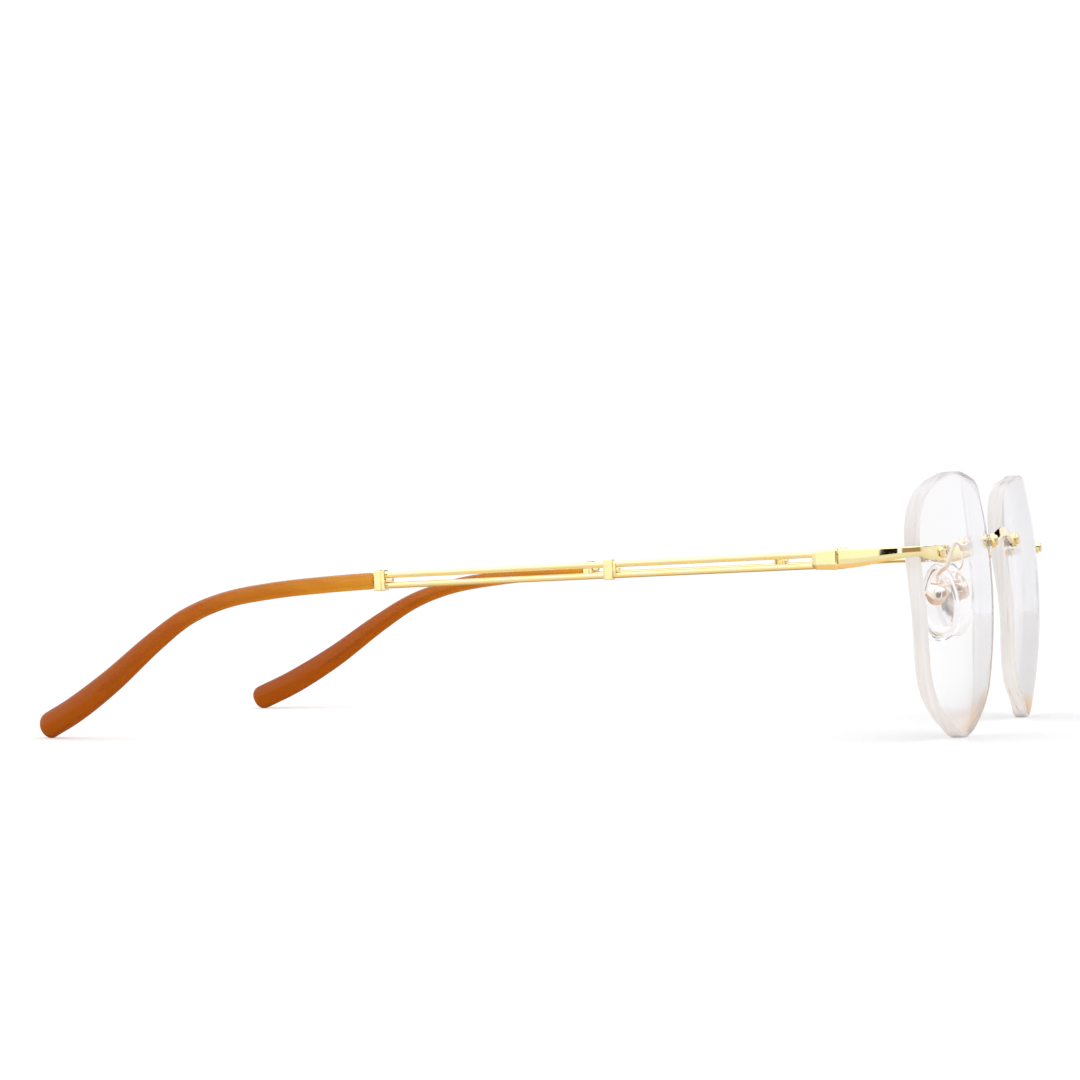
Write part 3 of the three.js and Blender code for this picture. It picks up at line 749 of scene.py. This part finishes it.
# ------------------------------------------------------------------ assembly
piece("bridge", bridge(), "front", [GOLD], 25)
pair("lens", lens(), "front", [LENS_GLASS, LENS_EDGE], 28)
pair("bridge_screw", tab_screw(4.6).moved(bridge_frame), "front", [SCREW_METAL])
pair("bridge_bushing", bushing().moved(bridge_frame), "front", [PLASTIC])
pair("bridge_washer", back_washer().moved(bridge_frame), "front", [PLASTIC])
pair("bridge_nut", cap_nut(LENS_BACK - 1.0, 1.2, 1.38).moved(bridge_frame), "front",
     [SCREW_METAL])
pair("pad_arm", pad_arm(), "front", [PALE_GOLD])
pair("pad_box", pad_box(), "front", [PALE_GOLD])
pair("pad_screw", pad_screw(), "front", [SCREW_METAL])
pair("nose_pad", nose_pad(), "pad", [SILICONE], 50)
pair("endpiece", endpiece(), "front", [GOLD])
pair("endpiece_screw", tab_screw(3.6).moved(endpiece_frame), "front",
     [SCREW_METAL])
pair("endpiece_bushing", bushing().moved(endpiece_frame), "front", [PLASTIC])
pair("endpiece_washer", back_washer().moved(endpiece_frame), "front",
     [PLASTIC])
pair("endpiece_nut", cap_nut(LENS_BACK - 0.42, 0.95, 0.98).moved(endpiece_frame), "front",
     [SCREW_METAL])
pair("hinge_screw", hinge_screw(), "front", [SCREW_METAL])
pair("temple_block", temple_block(), "temple", [GOLD])
pair("temple_wire_upper", temple_wire(1), "temple", [GOLD])
pair("temple_wire_lower", temple_wire(-1), "temple", [GOLD])
pair("temple_clasp", mid_clasp(), "temple", [GOLD])
pair("temple_ferrule", ferrule(), "temple", [GOLD])
pair("tip_core", tip_core(), "temple", [CORE_STEEL])
pair("temple_tip", temple_tip(), "temple", [ACETATE], 60)


# ------------------------------------------------------------------ floor and light
# the floor's sizes and place in metres, and how strongly it glows
FLOOR_HALF = 0.9
FLOOR_SHIFT = (0, 0.0125, -0.00006)
# mirrored rays see painted shade and a painted warm reflection on the floor in and just around this
# rectangle
UNDER_OBJECT = (0.064, 0.0675, 0)       # half sizes of the rectangle under the object
FLOOR_FADE = 0.8
FLOOR_GLOW = 0.14


def in_reflections(nodes, links):
    """1 for a ray that a glossy surface has mirrored, else 0."""
    path = nodes.new("ShaderNodeLightPath")
    once = nodes.new("ShaderNodeMath")
    once.operation = "MINIMUM"
    once.inputs[1].default_value = 1.0
    links.new(path.outputs["Glossy Depth"], once.inputs[0])
    return once.outputs["Value"]


def floor():
    """White floor. Mirrored rays see its colour painted darker, and warm close under the object: a
    painted shade and warm reflection in the metal.
    """
    mesh = bpy.data.meshes.new("floor")
    h = FLOOR_HALF
    mesh.from_pydata([(-h, -h, 0), (h, -h, 0), (h, h, 0), (-h, h, 0)], [], [(0, 1, 2, 3)])
    mat, nodes, links, shader = new_material("white_floor_painted_reflections")
    shader.inputs["Roughness"].default_value = 1.0
    shader.inputs["Specular IOR Level"].default_value = 0.0
    place = nodes.new("ShaderNodeTexCoord")
    # distance outside the rectangle between the lenses and the tips
    from_middle = nodes.new("ShaderNodeVectorMath")
    from_middle.operation = "ABSOLUTE"
    links.new(place.outputs["Object"], from_middle.inputs[0])
    beyond = nodes.new("ShaderNodeVectorMath")
    beyond.operation = "SUBTRACT"
    links.new(from_middle.outputs["Vector"], beyond.inputs[0])
    beyond.inputs[1].default_value = UNDER_OBJECT
    outside = nodes.new("ShaderNodeVectorMath")
    outside.operation = "MAXIMUM"
    links.new(beyond.outputs["Vector"], outside.inputs[0])
    distance = nodes.new("ShaderNodeVectorMath")
    distance.operation = "LENGTH"
    links.new(outside.outputs["Vector"], distance.inputs[0])
    fade = nodes.new("ShaderNodeMapRange")
    fade.inputs["From Max"].default_value = FLOOR_FADE
    links.new(distance.outputs["Value"], fade.inputs["Value"])
    # painted reflection and shade for mirrored rays only: dark brown under the object, warm just
    # beyond it, grey further off
    painted_reflection_tone = ramp(nodes, links, fade.outputs["Result"],
                         [(0.0, (0.28, 0.18, 0.10)), (0.012, (0.62, 0.42, 0.22)),
                          (0.03, (0.62, 0.42, 0.22)), (0.05, (0.56, 0.55, 0.49)),
                          (1.0, (0.60, 0.59, 0.53))])
    choose = nodes.new("ShaderNodeMix")
    choose.data_type = "RGBA"
    choose.inputs["A"].default_value = (0.93, 0.93, 0.93, 1)
    links.new(painted_reflection_tone, choose.inputs["B"])
    links.new(in_reflections(nodes, links), choose.inputs["Factor"])
    links.new(choose.outputs["Result"], shader.inputs["Base Color"])
    shader.inputs["Emission Color"].default_value = (1, 1, 1, 1)
    shader.inputs["Emission Strength"].default_value = FLOOR_GLOW
    mesh.materials.append(mat)
    obj = bpy.data.objects.new("floor", mesh)
    bpy.context.scene.collection.objects.link(obj)
    obj.location = FLOOR_SHIFT


floor()

scene = bpy.context.scene
scene.view_settings.view_transform = "Standard"
world = bpy.data.worlds.new("studio")
scene.world = world
world.use_nodes = True
w_nodes, w_links = world.node_tree.nodes, world.node_tree.links
background = w_nodes["Background"]
background.inputs["Strength"].default_value = 1.03

# share of a turn from -X round by -Y, and the panel's brightness there
PANELS = [(0.0, (1.06, 1.1, 1.08)), (0.046, (1.06, 1.1, 1.08)), (0.051, (0.01, 0.008, 0.006)),
          (0.118, (0.01, 0.008, 0.006)), (0.123, (1.2, 1.3, 1.7)), (0.14, (1.2, 1.3, 1.7)),
          (0.15, (0.38, 0.25, 0.18)), (0.29, (0.38, 0.25, 0.18)), (0.32, (0.80, 0.75, 0.78)),
          (0.4, (0.95, 0.94, 0.96)), (0.6, (0.98, 0.97, 0.98)), (1.0, (1.06, 1.1, 1.08))]
WHITE, BLACK = (1, 1, 1), (0, 0, 0)
# a dark card to the far side, above the height that the lenses mirror
CARD = [(0.42, WHITE), (0.425, BLACK), (0.555, BLACK), (0.56, WHITE)]
CARD_HEIGHT = [(0.21, BLACK), (0.22, WHITE), (0.44, WHITE), (0.45, BLACK)]


def studio_world():
    """White all round, with darker panels that only mirrored rays see."""
    place = w_nodes.new("ShaderNodeTexCoord")
    split = w_nodes.new("ShaderNodeSeparateXYZ")
    w_links.new(place.outputs["Generated"], split.inputs["Vector"])
    bearing = w_nodes.new("ShaderNodeMath")
    bearing.operation = "ARCTAN2"
    w_links.new(split.outputs["Y"], bearing.inputs[0])
    w_links.new(split.outputs["X"], bearing.inputs[1])
    turn = w_nodes.new("ShaderNodeMapRange")
    turn.inputs["From Min"].default_value = -math.pi
    turn.inputs["From Max"].default_value = math.pi
    w_links.new(bearing.outputs["Value"], turn.inputs["Value"])
    panels = w_nodes.new("ShaderNodeMix")
    panels.data_type = "RGBA"
    panels.blend_type = "MULTIPLY"
    w_links.new(ramp(w_nodes, w_links, split.outputs["Z"], CARD_HEIGHT), panels.inputs["Factor"])
    w_links.new(ramp(w_nodes, w_links, turn.outputs["Result"], PANELS), panels.inputs["A"])
    w_links.new(ramp(w_nodes, w_links, turn.outputs["Result"], CARD), panels.inputs["B"])
    height = w_nodes.new("ShaderNodeMapRange")
    height.inputs["From Min"].default_value = 0.45
    height.inputs["From Max"].default_value = 0.62
    w_links.new(split.outputs["Z"], height.inputs["Value"])
    dome = w_nodes.new("ShaderNodeMix")
    dome.data_type = "RGBA"
    w_links.new(height.outputs["Result"], dome.inputs["Factor"])
    w_links.new(panels.outputs["Result"], dome.inputs["A"])
    dome.inputs["B"].default_value = (1.5, 1.5, 1.7, 1)
    choose = w_nodes.new("ShaderNodeMix")
    choose.data_type = "RGBA"
    w_links.new(in_reflections(w_nodes, w_links), choose.inputs["Factor"])
    choose.inputs["A"].default_value = (1, 1, 1, 1)
    w_links.new(dome.outputs["Result"], choose.inputs["B"])
    w_links.new(choose.outputs["Result"], background.inputs["Color"])


studio_world()

# ------------------------------------------------------------------ camera
CAMERA_PLACE = (-672.19, -103.94, 35.41)
CAMERA_YAW = math.radians(15.67)
CAMERA_PITCH = math.radians(0.2)
CAMERA_ROLL = math.radians(-0.503)
FOCAL = 129.6               # on a 36 mm sensor

forward = np.array((math.cos(CAMERA_YAW) * math.cos(CAMERA_PITCH),
                    math.sin(CAMERA_YAW) * math.cos(CAMERA_PITCH), -math.sin(CAMERA_PITCH)))
level = unit(np.cross(forward, (0, 0, 1)))
upright = np.cross(level, forward)
turn_c, turn_s = math.cos(CAMERA_ROLL), math.sin(CAMERA_ROLL)
right = turn_c * level + turn_s * upright
up = turn_c * upright - turn_s * level
camera_data = bpy.data.cameras.new("camera")
camera_data.lens = FOCAL
camera_data.sensor_width = 36
camera_data.clip_start, camera_data.clip_end = 0.01, 20
camera = bpy.data.objects.new("camera", camera_data)
scene.collection.objects.link(camera)
camera.matrix_world = Matrix(basis(right, up, -forward, (
    np.array(CAMERA_PLACE) - (0, FORWARD, 0)) * MM).tolist())
scene.camera = camera
